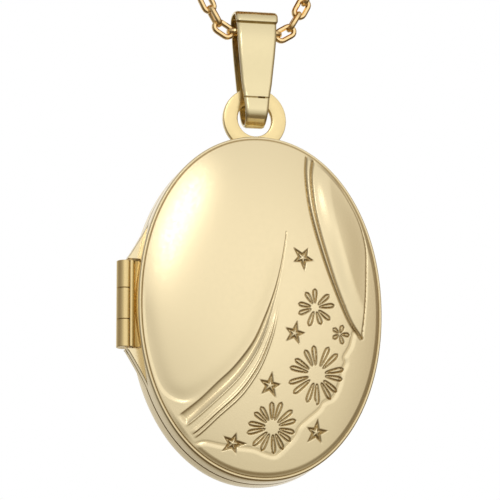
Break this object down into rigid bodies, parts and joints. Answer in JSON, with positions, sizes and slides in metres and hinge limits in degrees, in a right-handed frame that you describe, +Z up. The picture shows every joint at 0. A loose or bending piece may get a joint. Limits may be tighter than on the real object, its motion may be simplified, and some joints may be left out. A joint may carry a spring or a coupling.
{
  "type": "locket",
  "caption": "Oval hinged photo locket with an engraved domed front, flat top loop, folded tapered bail and a fine cable chain with a spring-ring clasp.",
  "frame": {"origin": "where the coiled chain is hung up: the top of the coil, at the middle of its bundle", "axes": "+Z up as the locket hangs, the engraved front faces -Y, the hinge is on the -X side"},
  "size_m": [0.0214, 0.0057, 0.0586],
  "materials": {
    "locket_gold": "satin pale yellow gold, engraved",
    "bail_gold": "polished yellow gold",
    "chain_gold": "diamond-cut orange-yellow gold",
    "clear_window": "thin clear plastic sheet",
    "spring_steel": "fine spring wire",
    "tie_white": "soft white band"
  },
  "bodies": {
    "chain": {"chain_left": "chain_gold", "chain_right": "chain_gold", "chain_coil": "chain_gold", "coil_tie_left": "tie_white", "coil_tie_right": "tie_white", "chain_tail_upper": "chain_gold", "chain_tail_lower": "chain_gold", "chain_end_ring": "chain_gold", "clasp_jump_ring": "chain_gold", "clasp_body": "chain_gold", "clasp_spring": "spring_steel"},
    "clasp_bolt": {"clasp_bolt": "chain_gold"},
    "bail": {"bail": "bail_gold"},
    "locket_back": {"back_cover": "locket_gold", "closing_lip": "locket_gold", "back_photo_frame": "locket_gold", "back_photo_window": "clear_window", "pendant_loop": "bail_gold", "loop_solder": "bail_gold", "hinge_knuckle_upper": "locket_gold", "hinge_knuckle_lower": "locket_gold", "back_wing_upper": "locket_gold", "back_wing_lower": "locket_gold", "hinge_pin": "locket_gold"},
    "front_cover": {"front_cover": "locket_gold", "front_photo_frame": "locket_gold", "front_photo_window": "clear_window", "hinge_knuckle_middle": "locket_gold", "front_wing_upper": "locket_gold", "front_wing_lower": "locket_gold"}
  },
  "joints": [
    {"name": "bail_swing", "type": "hinge", "parent": "chain", "child": "bail", "pos_m": [0, 0, -0.0195], "axis": [1, 0, 0], "range_deg": [-60, 60]},
    {"name": "locket_swing", "type": "hinge", "parent": "bail", "child": "locket_back", "pos_m": [0, 0, -0.02495], "axis": [1, 0, 0], "range_deg": [-80, 80]},
    {"name": "cover_hinge", "type": "hinge", "parent": "locket_back", "child": "front_cover", "pos_m": [-0.01075, -0.0005, -0.04266], "axis": [0, 0, -1], "range_deg": [0, 165]},
    {"name": "clasp_bolt_slide", "type": "hinge", "parent": "chain", "child": "clasp_bolt", "pos_m": [0, 0, -0.0078], "axis": [0, -1, 0], "range_deg": [0, 52], "stiffness_Nm_per_rad": 0.00005, "springref_deg": -28.65}
  ]
}
